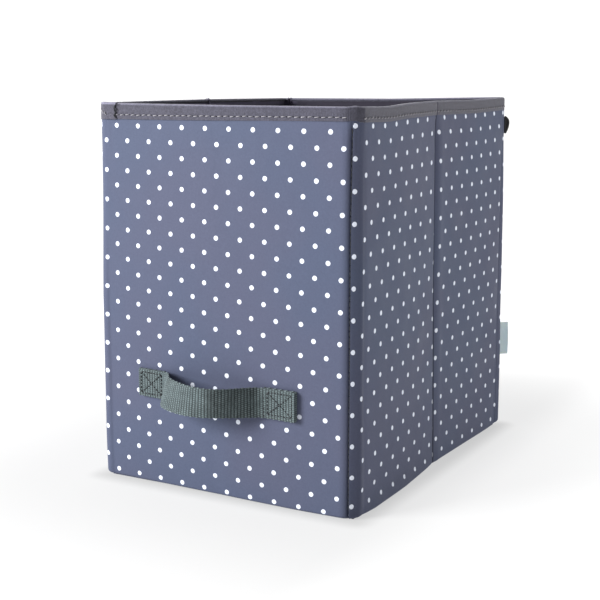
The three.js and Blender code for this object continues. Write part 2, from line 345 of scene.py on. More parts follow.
def webbing():
    """Grey-green webbing, a pellet of yarn at each crossing of its ribs and picks."""
    net = Net("webbing", 0.72, 0.15, 0.4)
    along, across = net.cloth()
    rib = net.math("COSINE", net.math("MULTIPLY", along, math.pi / (RIB_PITCH / MM)))
    pick = net.math("COSINE", net.math("MULTIPLY", across, 2 * math.pi / (PICK_PITCH / MM)))
    pellet = net.math("MAXIMUM", net.math("MULTIPLY", rib, pick), 0.0)
    ridge = net.math("ABSOLUTE", rib)
    fuzz = net.noise(1100, 3)
    tone = net.math("MULTIPLY_ADD", pellet, 0.85, net.range(ridge, 0.1, 0.9, 0.28, 0.8))
    tone = net.math("MULTIPLY", tone, net.range(fuzz, 0.2, 0.8, 0.72, 1.2))
    tone = net.math("MULTIPLY", tone, net.range(net.noise(160, 2), 0.3, 0.7, 0.82, 1.18))
    # Painted shade: the right part of the bow, which faces away from the key lamp, is made darker.
    x = net.at()[0]
    shade = net.math("MULTIPLY", net.range(x, 0.003, 0.012, 0.0, 0.4), net.range(x, 0.035, 0.041, 1.0, 0.0))
    tone = net.math("MULTIPLY", tone, net.math("SUBTRACT", 1.0, shade))
    colour = net.scaled(net.mix(net.noise(60, 2), (0.125, 0.168, 0.178), (0.145, 0.18, 0.186)), tone)
    normal = net.bump(pellet, 0.8, 0.0004)
    return net.done(colour, net.bump(fuzz, 0.25, 0.00015, normal))


def thread(name, colour):
    net = Net(name, 0.6, 0.2)
    tone = net.range(net.noise(1500, 2), 0.2, 0.8, 0.75, 1.15)
    return net.done(net.scaled(colour, tone), net.bump(net.noise(2500, 1), 0.4, 0.0001))


def lining_cloth():
    """Thin dark lining."""
    net = Net("lining", 0.88, 0.2, 0.6)
    along, up = net.cloth()
    weave = net.math("MULTIPLY", net.wave(along, LINING_PITCH), net.wave(up, LINING_PITCH))
    tone = net.range(net.noise(260, 3), 0.2, 0.8, 0.84, 1.12)
    # Painted light: the left wall's lining is made paler, most of all near the rim.
    x, _, z = net.at()
    left = net.range(x, 0.014 - CAD_HI.x, 0.022 - CAD_HI.x, 1.0, 0.0)
    painted_light_near_rim = net.range(z, CAD_HI.z - 0.014, CAD_HI.z - 0.003, 0.5, 3.6, smooth=True)
    tone = net.math("MULTIPLY", tone, net.math("MULTIPLY_ADD", left, painted_light_near_rim, 0.94))
    colour = net.scaled(net.mix(net.noise(14, 2), (0.034, 0.031, 0.050), (0.043, 0.038, 0.058)), tone)
    return net.done(colour, net.bump(weave, 0.3, 0.0002))


def cardboard():
    net = Net("stiff_board", 0.9)
    tone = net.range(net.noise(400, 4), 0.2, 0.8, 0.82, 1.1)
    colour = net.scaled(net.mix(net.noise(40, 3), (0.33, 0.24, 0.15), (0.39, 0.29, 0.19)), tone)
    return net.done(colour, net.bump(net.noise(700, 2), 0.3, 0.0002))


def label_satin():
    net = Net("label_satin", 0.35, 0.3)
    net.shader.inputs["Subsurface Weight"].default_value = 0.3
    net.shader.inputs["Subsurface Scale"].default_value = 0.004
    tone = net.range(net.noise(500, 2), 0.2, 0.8, 0.95, 1.02)
    return net.done(net.scaled((0.8, 0.83, 0.85), tone), net.bump(net.noise(900, 1), 0.2, 0.0001))


def black_cord():
    net = Net("cord_black", 0.7, 0.3)
    along, around = net.cloth()
    twist = net.wave(net.math("ADD", along, around), CORD_TWIST)
    colour = net.scaled((0.012, 0.012, 0.014), net.range(twist, 0, 1, 0.6, 1.5))
    return net.done(colour, net.bump(twist, 0.6, 0.0003))


def glowing_floor():
    """A white sweep, lit from within as well so that shadows stay soft and it ends in white."""
    net = Net("studio_floor", 0.9, gloss=0.0)
    x, y, _ = net.at()
    gaps = []
    for value, half in ((x, CAD_HI.x - FOOTPRINT_INSET), (y, CAD_HI.y - FOOTPRINT_INSET)):
        gap = net.math("MAXIMUM", net.math("SUBTRACT", net.math("ABSOLUTE", value), half), 0.0)
        gaps.append(net.math("MULTIPLY", gap, gap))
    away = net.math("SQRT", net.math("ADD", *gaps))
    # Painted shadow and light: the glow is least close to the bin, which paints a darker contact shadow, and
    # rises past the bin's right side, which paints light into the shade there.
    near = net.range(away, 0.0, 0.02, 0.56, 0.74, smooth=True)
    glow = net.math("ADD", near, net.range(away, 0.03, 0.4, 0.0, 0.34, smooth=True))
    glow = net.math("ADD", glow, net.range(x, CAD_HI.x, CAD_HI.x + 0.06, 0.0, 0.1, smooth=True))
    net.put(net.shader.inputs["Emission Color"], (1, 1, 1, 1))
    net.put(net.shader.inputs["Emission Strength"], glow)
    return net.done((0.22, 0.22, 0.22))


MAT = {
    "dotted": dotted_fabric(),
    "tape": ribbed_tape(),
    "webbing": webbing(),
    "light_thread": thread("thread_light", (0.4, 0.39, 0.42)),
    "dark_thread": thread("thread_dark", (0.018, 0.02, 0.026)),
    "lining": lining_cloth(),
    "board": cardboard(),
    "label": label_satin(),
    "cord": black_cord(),
}

# ---------------------------------------------------------------- the shape of the walls
TAPE_LO, TAPE_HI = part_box("front_rim_tape")
HALF_W = TAPE_HI.x
HALF_D = -TAPE_LO.y
RIM_Z = TAPE_HI.z
TAPE_FOOT = TAPE_LO.z
COVER_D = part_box("front_cover")[0].y + HALF_D
COVER_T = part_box("front_cover")[1].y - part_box("front_cover")[0].y
BOARD_D = [y + HALF_D for y in (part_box("front_board")[0].y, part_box("front_board")[1].y)]
LINING_D = [y + HALF_D for y in (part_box("front_lining")[0].y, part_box("front_lining")[1].y)]
LINING_TO_TAPE = 0.8 * MM
WALL_T = LINING_D[1] + LINING_TO_TAPE
WALL_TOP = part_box("front_cover")[1].z
HINGE_Y = -frame["joints"][0]["pos_m"][1]

# u runs round the outside of the bin from the middle of the front wall; the left side is negative.
CORNER = 9 * MM
FLAT = HALF_W - CORNER
ARC = CORNER * math.pi / 2
SIDE = 2 * (HALF_D - CORNER)
SIDE_U = FLAT + ARC
END_U = 2 * SIDE_U + SIDE

# How far the end walls bow out, the creased sides draw in, and the tape's foot rises to the right
FRONT_BULGE = 4.2 * MM
BACK_BULGE = 3 * MM
CREASE_INSET = 4.5 * MM
TAPE_RISE = 2.1 * MM


def side_y(s):
    """The y of that place on the right side wall."""
    return s - SIDE_U - (HALF_D - CORNER)


def side_u(y):
    """The place on the right side wall whose y this is."""
    return y + HALF_D - CORNER + SIDE_U


def crease_y(z):
    """The y of the side walls' crease at that height."""
    return CREASE_LOW + (CREASE_HIGH - CREASE_LOW) * z / RIM_Z


def smooth(x, lo, hi):
    """0 at lo and 1 at hi, eased at both ends."""
    t = np.clip((x - lo) / (hi - lo), 0, 1)
    return t * t * (3 - 2 * t)


def hump(x, centre, width):
    """A bell curve of height 1."""
    return np.exp(-(((x - centre) / width) ** 2))


def seam_u(z):
    """Where the seam between the end panel and the side panel runs, seen from the end wall."""
    away = (z - 0.56 * RIM_Z) / (0.36 * RIM_Z)
    return FLAT + (1.5 + np.where(away > 0, 1.15, -0.1) * away**2) * MM


def outline(s):
    """The plan outline with round corners: place and outward direction."""
    first = np.clip(s, 0, FLAT)
    a = np.clip((s - FLAT) / CORNER, 0, math.pi / 2)
    along = np.clip(s - SIDE_U, 0, SIDE)
    b = np.clip((s - SIDE_U - SIDE) / CORNER, 0, math.pi / 2)
    last = np.clip(s - 2 * FLAT - 2 * ARC - SIDE + FLAT, 0, FLAT)
    turn = a + b
    nx, ny = np.sin(turn), -np.cos(turn)
    x = first + CORNER * np.sin(a) + CORNER * (np.cos(b) - 1) - last
    y = -HALF_D + CORNER * (1 - np.cos(a)) + along + CORNER * np.sin(b)
    return x, y, nx, ny


def side_offset(s, z):
    """A side wall draws in towards its crease, and each half bellies out a little."""
    y, yc = side_y(s), crease_y(z)
    front = (y + HALF_D) / (yc + HALF_D)
    rear = (HALF_D - y) / (HALF_D - yc)
    f = np.clip(np.minimum(front, rear), 0, 1)
    belly = np.where(front < rear, 1.35, 0.5) * MM
    return -CREASE_INSET * f + belly * 4 * f * (1 - f)


# How much each corner is flattened (or, below zero, filled out), up its height
CORNER_HEIGHTS = [0, 0.1, 0.15, 0.2, 0.24, 0.285, 0.304]
FLATTENED = {
    "front_right": [1, 1, 1, 1, 1, 1, 1],
    "back_right": [-1.4, -0.9, -0.9, -0.6, -0.2, 0.6, 1.1],
    "left": [-0.9, -0.95, -0.9, -0.1, 0.6, 0.9, 1.1],
}


def broad_offset(s, z, left):
    """How far the wall stands out from the plain outline: bowed ends, creased sides."""
    end = np.where(s > END_U / 2, END_U - s, s)
    bulge = np.where(s > END_U / 2, BACK_BULGE, FRONT_BULGE)
    bulge = bulge * (1 - 0.35 * smooth(z, 0.03, 0.0))
    at_end = bulge * (1 - (np.clip(end, 0, FLAT) / HALF_W) ** 2)
    t = smooth(end, FLAT, SIDE_U)
    side = side_offset(np.clip(s, SIDE_U, SIDE_U + SIDE), z)
    across = np.clip((end - FLAT + 1.2 * MM) / (ARC + 1.2 * MM), 0, 1)
    amounts = {name: np.interp(z, CORNER_HEIGHTS, row) for name, row in FLATTENED.items()}
    right = np.where(s > END_U / 2, amounts["back_right"], amounts["front_right"])
    chamfer = -1.7 * MM * np.sin(math.pi * across) ** 1.2 * np.where(left, amounts["left"], right)
    return at_end * (1 - t) + side * t + chamfer


def ripple(s, z, seed):
    """Soft uneven tension, always the same."""
    total = 0
    for k, (a, b) in enumerate(((31, 22), (-47, 37), (73, -52), (18, 88), (105, 41))):
        total = total + np.sin(a * s + b * z + seed * (1.7 + k)) / (1 + 0.5 * k)
    return total * 0.12 * MM


def fine_offset(s, z, seamed):
    """Seam grooves, corner rolls and the crease of the outer cloth; the left corners have no seam.

    The terms are in millimetres.
    """
    end = np.where(s > END_U / 2, END_U - s, s)
    seam = seam_u(z)
    # The seam: a narrow groove in a wider dip, steeper on the corner's side, then the rolled corner
    # and the shallow valley where the side wall starts
    valley = SIDE_U + (-0.5 + 7 * (1 - z / RIM_Z)) * MM
    under_tape = smooth(z, TAPE_FOOT + 3 * MM, TAPE_FOOT - 14 * MM)
    before = end < seam
    groove = -1.8 * np.where(before, hump(end, seam, 0.7 * MM), hump(end, seam, 0.35 * MM))
    dip = -1.4 * np.where(before, hump(end, seam, 3.1 * MM), hump(end, seam, 0.4 * MM))
    roll = np.clip((end - seam) / (valley - seam), 0, 1)
    pillow = 0.2 * np.sin(math.pi * roll)
    trough = -0.35 * hump(end, valley, 3 * MM)
    # The crease: a sharp line between two shoulders, the rear one wider and deeper
    y, yc = side_y(s), crease_y(z)
    behind = smooth(y, yc - 0.3 * MM, yc + 0.3 * MM)
    deep = 0.12 + 0.88 * smooth(z, 0.02 * RIM_Z, 0.75 * RIM_Z)
    shoulder = 1.3 * hump(y, yc, 2.6 * MM) * (1 - behind) + 2.7 * hump(y, yc, 4 * MM) * behind
    sharp = 0.6 + 1.3 * smooth(z, 0.1 * RIM_Z, 0.6 * RIM_Z)
    pleat = -shoulder * deep - sharp * hump(y, yc + 0.2 * MM, 0.55 * MM) + 0.4 * hump(y, yc + 10 * MM, 4 * MM)
    # Small puckers under the tape, and the foot that rolls out
    puckers = 0.18 * np.sin(end / (4.1 * MM) * math.pi + 9 * np.sin(60 * end))
    puckers = puckers * smooth(z, TAPE_FOOT - 26 * MM, TAPE_FOOT - 4 * MM) * under_tape
    flare = foot_flare(s) / MM * smooth(z, 0.0115, 0.0025)
    corner = seamed * (under_tape * (groove + dip + pillow + trough) + flare)
    return (corner + (0.35 + 0.65 * under_tape) * pleat + puckers) * MM


def surface(u, d, z, fine=1.0):
    """Points at depth d inside the outer face, at place u round the bin and height z."""
    s = np.abs(u)
    x, y, nx, ny = outline(s)
    own = fine_offset(s, z, np.where(u < 0, 0.0, 1.0)) + ripple(s, z, np.where(u < 0, 2.0, 0.0))
    off = broad_offset(s, z, u < 0) + fine * own - d
    sign = np.where(u < 0, -1.0, 1.0)
    low = raised(u, z) - rim_drop(u) * smooth(z, 0.55 * RIM_Z, RIM_Z)
    return np.stack(np.broadcast_arrays((x + nx * off) * sign, y + ny * off, low), -1)


def plain_surface(u, d, z):
    """The same without seams, creases and ripples, for what lies behind the outer cloth."""
    return surface(u, d, z, 0.0)


def rim_drop(u):
    """The rim isn't quite level: it hangs lowest at the back left corner."""
    corner, crease = FLAT + ARC / 2, SIDE_U + SIDE / 2
    behind = crease + 70 * MM
    places = (-END_U, corner - END_U, -crease, -corner, 0, corner, crease, behind, END_U - corner, END_U)
    drops = (2.6, 3.4, 1.0, 0.2, 0.3, 0, -0.5, 0.5, -0.4, 2.6)
    drop = np.interp(u, places, drops)
    drop = drop - 0.6 * hump(u, FLAT + 6 * MM, 5 * MM) + 1.1 * hump(u, SIDE_U + 40 * MM, 26 * MM)
    return (drop - 0.7 * hump(u, -crease, 2 * MM)) * MM


def foot_rise(u):
    """The foot isn't level either: only the front right part stands on the ground."""
    corner, crease = FLAT + ARC / 2, SIDE_U + SIDE / 2
    places = (-END_U, -crease, -corner, 0, 60 * MM, crease - 10 * MM, crease + 10 * MM, END_U - corner, END_U)
    rise = np.interp(u, places, (1.9, 1.9, 1.7, 1.3, 0.2, 0, 0.5, 1.6, 1.9))
    turned = 1.6 * smooth(np.abs(u), END_U - FLAT - ARC - 12 * MM, END_U - FLAT - 0.5 * ARC)
    return (rise + turned * (u > 0)) * MM


def raised(u, z):
    """Height of the wall's point z, where its foot is off the ground."""
    return z + foot_rise(u) * smooth(z, 0.2 * RIM_Z, 0)


def foot_flare(s):
    """How far the cloth's foot rolls out, on the right of the front and the side's front half."""
    crease = SIDE_U + SIDE / 2
    places = (FLAT - 50 * MM, FLAT, SIDE_U, SIDE_U + 25 * MM, crease - 60 * MM, crease + 6 * MM)
    return np.interp(s, places, (0, 0.4, -0.9, 1.7, 1.9, 0)) * MM


def tape_surface(u, d, z):
    """The rim tape, whose foot rises a little from left to right."""
    x = surface(u, d, z, 0.0)[..., 0]
    s = np.abs(u)
    level = smooth(x, -HALF_W, HALF_W) - 0.4 * smooth(s, FLAT, SIDE_U)
    rise = TAPE_RISE * level * np.clip((RIM_Z - z) / (RIM_Z - TAPE_FOOT), 0, 1)
    end = np.where(s > END_U / 2, END_U - s, s)
    y, yc = side_y(s), crease_y(z)
    notch = 0.7 * hump(y, yc - 0.6 * MM, 0.5 * MM) + 0.2 * hump(y, yc, 3 * MM)
    drawn_in = np.where(u < 0, 0.7, 1.4) * hump(s, END_U - FLAT - 0.5 * ARC, 8 * MM)
    drawn_in = drawn_in + 0.7 * hump(u, -FLAT - 0.6 * ARC, 8 * MM)
    pinch = 0.7 * hump(u, FLAT + 2 * MM, 3.5 * MM) + notch + drawn_in
    return surface(u, d + pinch * MM, z + rise, 0.0)


def lining_surface(u, d, z):
    """The lining gathers into a soft fold in every inside corner."""
    s = np.abs(u)
    end = np.where(s > END_U / 2, END_U - s, s)
    middle = FLAT + ARC / 2
    fold = 0.6 * hump(end, middle, 3 * MM) - 0.4 * hump(end, FLAT, 1.6 * MM)
    fold = fold - 0.4 * hump(end, SIDE_U, 1.6 * MM) + 0.8 * hump(side_y(s), 0, 2 * MM)
    return surface(u, d + fold * MM + 0.6 * ripple(s, z, 5.0), z, 0.0)


# ---------------------------------------------------------------- the printed fabric's own coordinates
# How the print's columns and rows run over each panel, as factors of the terms that its chart lists.
# The charts measure in tenths of a metre, and up from PRINT_Z. These factors weren't chosen by hand:
# they came from another program, a least-squares fit to the photo's dots.
PRINT_Z = RIM_Z - AIM_DROP
FRONT_PRINT = ((9.3007, 9.5351, -0.1959, 0.0418), (11.3223, -0.0905, -8.548, 0.05))
SIDE_PRINT = (
    (-5.890, 9.769, -0.245, -0.301, 0.162, -0.246, 0.173),
    (9.749, -0.017, 0, -8.543, 0.013, -0.069, 0),
)
SIDE_PRINT_REAR = (
    (-5.794, 9.347, 0.021, -0.494, 0.097, 0.095, 0.310),
    (9.776, -0.022, 0, -8.576, 0.006, -0.022, 0),
)


def lattice(terms, col, row):
    """Columns and rows of the printed dots as sums of smooth terms, in millimetres of fabric."""
    column = sum(k * term for k, term in zip(col, terms))
    line = sum(k * term for k, term in zip(row, terms))
    return column * DOT_COLUMN, line * DOT_ROW


def front_chart(u, z):
    """The end panel's print, cut very slightly off the grain; it runs on round the left corner."""
    x, h = u * 10, (raised(u, z) - PRINT_Z) * 10
    x = np.where(x > 1.085, 1.085 + 0.15 * (x - 1.085), x)
    terms = (1 + 0 * x * h, x, h, np.clip(x, -1.3, 1.3) * h)
    return lattice(terms, *FRONT_PRINT)


def side_chart(u, z):
    """The right side panel's print, which takes in the front corner up to the seam.

    The print runs a little differently behind the crease. Over the corner its columns are drawn
    together, by a cubic from the side wall's first column to the corner's last.
    """
    s = np.abs(u)
    first_column = 0.09
    t, h = (s - SIDE_U) * 10 + first_column, (raised(u, z) - PRINT_Z) * 10
    on_wall = np.clip(t, first_column, None)
    terms = (1 + 0 * t * h, on_wall, on_wall**2, h, on_wall * h, h**2, h**3)
    front, rear = lattice(terms, *SIDE_PRINT), lattice(terms, *SIDE_PRINT_REAR)
    w = smooth(side_y(s) - crease_y(z), -1 * MM, 3 * MM)
    back_from = np.clip(SIDE_U - s, 0, None) / MM
    reach = 9.6 - 1.07 * z / RIM_Z
    near_foot = 0.35 * DOT_COLUMN * smooth(-h, 1.18, 1.36) * smooth(t, 2.2, 0.1)
    lifted = 0.14 * DOT_ROW * smooth(-h, 1.2, 1.4) * smooth(t, 2.2, 0.1)
    along = (front[0] + near_foot) * (1 - w) + rear[0] * w
    fall = -6 * DOT_COLUMN - front[0] - near_foot
    p = np.clip(back_from / reach, 0, 1)
    slope_in, slope_out = -1.02 * reach, -0.93 * reach
    bend = (p**3 - 2 * p**2 + p) * slope_in + (3 * p**2 - 2 * p**3) * fall + (p**3 - p**2) * slope_out
    beyond = -0.93 * np.clip(back_from - reach, 0, None)
    return along + bend + beyond, (front[1] + lifted) * (1 - w) + rear[1] * w


def plain_chart(u, z):
    """Cloth coordinates for what has no print: millimetres along and up."""
    return u / MM, z / MM


# ---------------------------------------------------------------- mesh helpers
# Edges sharper than this many degrees stay sharp.
SMOOTH_ANGLE = 50


def add_object(name, verts, faces, material, uvs, smooth_angle=SMOOTH_ANGLE):
    """A mesh from vertices and faces, with a pair of cloth coordinates for each vertex."""
    mesh = bpy.data.meshes.new(name)
    mesh.from_pydata([tuple(map(float, v)) for v in verts], [], faces)
    mesh.materials.append(MAT[material])
    add_uvs(mesh, uvs)
    work = bmesh.new()
    work.from_mesh(mesh)
    bmesh.ops.recalc_face_normals(work, faces=work.faces)
    work.to_mesh(mesh)
    work.free()
    for polygon in mesh.polygons:
        polygon.use_smooth = True
    mesh.set_sharp_from_angle(angle=math.radians(smooth_angle))
    mesh.validate()
    made = bpy.data.objects.new(name, mesh)
    bpy.context.scene.collection.objects.link(made)
    return made


def add_uvs(mesh, uvs):
    """Gives the mesh's corners the cloth coordinates of their vertices."""
    layer = mesh.uv_layers.new(name="cloth")
    index = np.zeros(len(mesh.loops), np.int32)
    mesh.loops.foreach_get("vertex_index", index)
    layer.data.foreach_set("uv", np.asarray(uvs, np.float32)[index].ravel())


def grid_faces(rows, cols, closed=False):
    """Quads of a grid of vertices; closed joins its last column to its first."""
    faces = []
    for i in range(rows - 1):
        for j in range(cols if closed else cols - 1):
            a, b = i * cols + j, i * cols + (j + 1) % cols
            faces.append((a, b, b + cols, a + cols))
    return faces


def layered_faces(rows, cols):
    """Faces of two grids of vertices, one over the other, closed all round their edge."""
    size = rows * cols
    layer = grid_faces(rows, cols)
    faces = [f[::-1] for f in layer] + [tuple(v + size for v in f) for f in layer]
    ring = list(range(cols)) + [j * cols + cols - 1 for j in range(1, rows)]
    ring += [(rows - 1) * cols + i for i in range(cols - 2, -1, -1)]
    ring += [j * cols for j in range(rows - 2, 0, -1)]
    for a, b in zip(ring, ring[1:] + ring[:1]):
        faces.append((a, b, b + size, a + size))
    return faces


def volume(points, faces):
    """Six times the signed volume of a closed mesh: negative where its faces look inwards."""
    total = 0.0
    for face in faces:
        a = points[face[0]]
        for k in range(1, len(face) - 1):
            total += float(np.dot(a, np.cross(points[face[k]], points[face[k + 1]])))
    return total


def shaded(name, points, faces):
    """A smooth-shaded mesh with its sharp edges kept."""
    mesh = bpy.data.meshes.new(name)
    mesh.from_pydata(points.tolist(), [], faces)
    mesh.polygons.foreach_set("use_smooth", np.ones(len(faces), bool))
    mesh.set_sharp_from_angle(angle=math.radians(SMOOTH_ANGLE))
    return mesh


def loft(name, grid, uvs, material):
    """A closed solid through rows of points.

    The first and last row only steer the shading, so that neighbouring pieces of one cloth shade as one.
    """
    rows, cols = grid.shape[0] - 2, grid.shape[1]
    points = grid[1:-1].reshape(-1, 3)
    faces = grid_faces(rows, cols, closed=True)
    caps = [tuple(range(cols)), tuple(range((rows - 1) * cols, rows * cols))[::-1]]
    wide = grid_faces(rows + 2, cols, closed=True)
    if volume(points, faces + caps) < 0:
        faces, caps, wide = ([f[::-1] for f in group] for group in (faces, caps, wide))
    guide = shaded("guide", grid.reshape(-1, 3), wide)
    normals = np.zeros(len(guide.loops) * 3, np.float32)
    guide.corner_normals.foreach_get("vector", normals)
    bpy.data.meshes.remove(guide)
    mesh = shaded(name, points, faces + caps)
    mesh.materials.append(MAT[material])
    add_uvs(mesh, uvs[1:-1].reshape(-1, 2))
    own = normals.reshape(-1, 3)[cols * 4:cols * 4 + len(faces) * 4]
    cap_normals = [np.array(mesh.polygons[len(faces) + k].normal) for k in range(2)]
    ends = [np.tile(normal, (cols, 1)) for normal in cap_normals]
    mesh.normals_split_custom_set(np.concatenate([own, *ends]).tolist())
    made = bpy.data.objects.new(name, mesh)
    bpy.context.scene.collection.objects.link(made)
    return made


def with_guides(t):
    """The places t with one more before the first and one after the last."""
    return np.concatenate([[t[0] - 0.5 * (t[1] - t[0])], t, [t[-1] + 0.5 * (t[-1] - t[-2])]])[:, None]


def swept(name, lo, hi, profile, material, chart, shape):
    """Sweeps a closed profile of (depth, z) round part of the bin, from place lo(z) to hi(z)."""
    depth, z = np.array(profile).T
    middle = RIM_Z / 2
    steps = stations(float(lo(middle)), float(hi(middle)))
    t = with_guides((steps - steps[0]) / (steps[-1] - steps[0]))
    z = z[None, :] + 0 * t
    u = lo(z) + t * (hi(z) - lo(z))
    uvs = np.stack(np.broadcast_arrays(*chart(u, z)), -1)
    return loft(name, shape(u, depth[None, :] + 0 * t, z), uvs, material)


def stations(lo, hi):
    """Places between lo and hi, closer together at the corners and the crease."""
    corner, crease = FLAT + ARC / 2, side_u(crease_y(RIM_Z / 2))
    spots = []
    for spot in (corner, crease, END_U - corner):
        spots += [spot, -spot]
    out, u = [lo], lo
    while u < hi:
        near = min(abs(u - spot) for spot in spots)
        u += float(np.clip(0.8 * MM + 0.25 * (near - 11 * MM), 0.8 * MM, 4 * MM))
        out.append(u)
    if hi - out[-2] < 0.4 * MM:
        out.pop()
    out[-1] = hi
    return np.array(out)


def fixed(value):
    """An edge that stands straight up."""
    return lambda z: value + 0 * z


def band(outer, inner, top, foot, rows, turn=0.0):
    """A thin upright layer as a closed profile; turn rounds its foot inwards by that radius."""
    front = [(outer, z) for z in np.linspace(top, foot + turn, rows)]
    back = [(inner, z) for z in np.linspace(foot + turn, top, max(4, rows // 2))]
    if not turn:
        return front + back
    angles = [k / 6 * math.radians(80) for k in range(1, 7)]
    inside = turn - (inner - outer)
    under = [(outer + turn * (1 - math.cos(a)), foot + turn - turn * math.sin(a)) for a in angles]
    over = [(inner + inside * (1 - math.cos(a)), foot + turn - inside * math.sin(a)) for a in angles[::-1]]
    return front + under + over + back


# ---------------------------------------------------------------- walls
NEAR_CORNER = side_u(-HALF_D + 23 * MM)
PAST_CORNER = END_U - NEAR_CORNER
CREASE_SPAN = 20 * MM
CREASE_FROM = side_u(-CREASE_SPAN)
CREASE_TO = side_u(CREASE_SPAN)
# The cloth turns over this much of the crease each way, and between these distances from the end wall.
CREASE_TURN = 0.7 * CREASE_SPAN
CORNER_TURNS = (4.5 * MM, 21.5 * MM)
# The ring of walls is open at this hinge, with a small gap on both sides of it.
OPEN_AT = side_u(HINGE_Y)
OPEN_FROM = OPEN_AT - 0.25 * MM
OPEN_TO = OPEN_AT + 0.25 * MM


def seam(sign, at_back=False):
    """The edge between two panels: a sewn seam on the right, a plain fold line on the left."""
    if sign < 0:
        return fixed(FLAT - END_U if at_back else -FLAT)
    if at_back:
        return lambda z: sign * (END_U - seam_u(z))
    return lambda z: sign * seam_u(z)


def corner_points(sx, sy):
    x, (start, end) = sx * HALF_W, CORNER_TURNS
    return (x, sy * (HALF_D - start), 0), (x, sy * (HALF_D - end), 0)


def crease_points(sx):
    return (sx * HALF_W, -CREASE_TURN, 0), (sx * HALF_W, CREASE_TURN, 0)


# Each stretch of wall: name, the body it rides on, the body and points it blends to, where its cloth
# runs from and to, and where its lining, tape and board do
STRETCHES = [
    ("front", "front", None, (seam(-1), seam(1)), (-FLAT, FLAT)),
    ("corner_front_right", "front", ("right_front", *corner_points(1, -1)),
     (seam(1), NEAR_CORNER), (FLAT, NEAR_CORNER)),
    ("right_front", "right_front", None, (NEAR_CORNER, CREASE_FROM), (NEAR_CORNER, CREASE_FROM)),
    ("crease_right", "right_front", ("right_rear", *crease_points(1)),
     (CREASE_FROM, CREASE_TO), (CREASE_FROM, CREASE_TO)),
    ("right_rear", "right_rear", None, (CREASE_TO, OPEN_FROM), (CREASE_TO, OPEN_FROM)),
    ("corner_back_right", "back", None, (OPEN_TO, seam(1, True)), (OPEN_TO, END_U - FLAT)),
    ("corner_front_left", "front", ("left_front", *corner_points(-1, -1)),
     (-NEAR_CORNER, seam(-1)), (-NEAR_CORNER, -FLAT)),
    ("left_front", "left_front", None, (-CREASE_FROM, -NEAR_CORNER), (-CREASE_FROM, -NEAR_CORNER)),
    ("crease_left", "left_front", ("left_rear", *crease_points(-1)),
     (-CREASE_TO, -CREASE_FROM), (-CREASE_TO, -CREASE_FROM)),
    ("left_rear", "left_rear", None, (-PAST_CORNER, -CREASE_TO), (-PAST_CORNER, -CREASE_TO)),
    ("corner_back_left", "back", ("left_rear", *corner_points(-1, 1)),
     (seam(-1, True), -PAST_CORNER), (FLAT - END_U, -PAST_CORNER)),
]


def as_function(edge):
    """An edge as a function of height, also where it is a plain place."""
    return edge if callable(edge) else fixed(edge)


def place(made, body, blend):
    """Rides the piece on its body; a piece listed to blend to another body is only baked where it stands."""
    if blend is None:
        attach(made, body)
    else:
        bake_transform(made)


COVER_FOOT = 0.35 * MM
FOOT_TURN = 3.0 * MM
LINING_FOOT = 1.35 * MM
LINING_BELOW_TOP = 1.5 * MM
BOARD_FOOT = 6.4 * MM
# The front board is narrower than its wall, to stay clear of the seam's groove.
FRONT_BOARD_HALF = FLAT - 6 * MM
TAPE_T = 0.7 * MM
TAPE_INNER = 2.2 * MM


def tape_profile():
    """The tape folded over the rim, as a closed profile."""
    top, round_in = RIM_Z - 0.1 * MM, 2.2 * MM
    outside, inside = [], []
    centre = WALL_T / 2
    for k in range(9):
        a = k / 8 * math.pi
        reach = centre * math.cos(a)
        rise = round_in * math.sin(a) ** 0.8
        outside.append((centre - reach, top - round_in + rise))
        inside.append((centre - reach * (1 - TAPE_T / centre), top - TAPE_T - round_in + rise))
    skirt = [(0.0, z) for z in np.linspace(TAPE_FOOT, top - round_in, 5)[:-1]]
    inner_foot = RIM_Z - TAPE_INNER
    back_skirt = [(WALL_T, z) for z in np.linspace(top - round_in, inner_foot, 3)[1:]]
    under = [(WALL_T - TAPE_T, inner_foot)] + inside[::-1] + [(TAPE_T, TAPE_FOOT)]
    return skirt + outside + back_skirt + under


COVER = band(COVER_D, COVER_D + COVER_T, WALL_TOP - 0.4 * MM, COVER_FOOT, 52, FOOT_TURN)
LINING = band(*LINING_D, WALL_TOP - LINING_BELOW_TOP, LINING_FOOT, 24)
BOARD = band(*BOARD_D, WALL_TOP - 2 * MM, BOARD_FOOT, 16)
TAPE = tape_profile()


def make_walls():
    """The outer cloth, lining and rim tape of every stretch but the back wall's, and the boards of the
    stretches that neither turn a corner nor blend.
    """
    for name, body, blend, edges, plain in STRETCHES:
        cloth_lo, cloth_hi = map(as_function, edges)
        lo, hi = map(fixed, plain)
        chart = side_chart if "right" in name else front_chart
        cloth = swept(f"cloth_{name}", cloth_lo, cloth_hi, COVER, "dotted", chart, surface)
        place(cloth, body, blend)
        width = float(cloth_hi(RIM_Z / 2) - cloth_lo(RIM_Z / 2))
        inner = swept(f"lining_{name}_cloth", lo, hi, LINING, "lining", plain_chart, lining_surface)
        place(inner, body, blend)
        rim = swept(f"tape_{name}", lo, hi, TAPE, "tape", plain_chart, tape_surface)
        place(rim, body, blend)
        if name.startswith("corner"):
            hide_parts(name.replace("corner_", "corner_fold_"))
        elif blend is None:
            ends = (-FRONT_BOARD_HALF, FRONT_BOARD_HALF) if name == "front" else plain
            stiff = swept(f"board_{name}", *map(fixed, ends), BOARD, "board", plain_chart, plain_surface)
            place(stiff, body, blend)
            for made, kind in ((stiff, "board"), (cloth, "cover"), (inner, "lining"), (rim, "rim_tape")):
                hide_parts(f"{name}_{kind}")


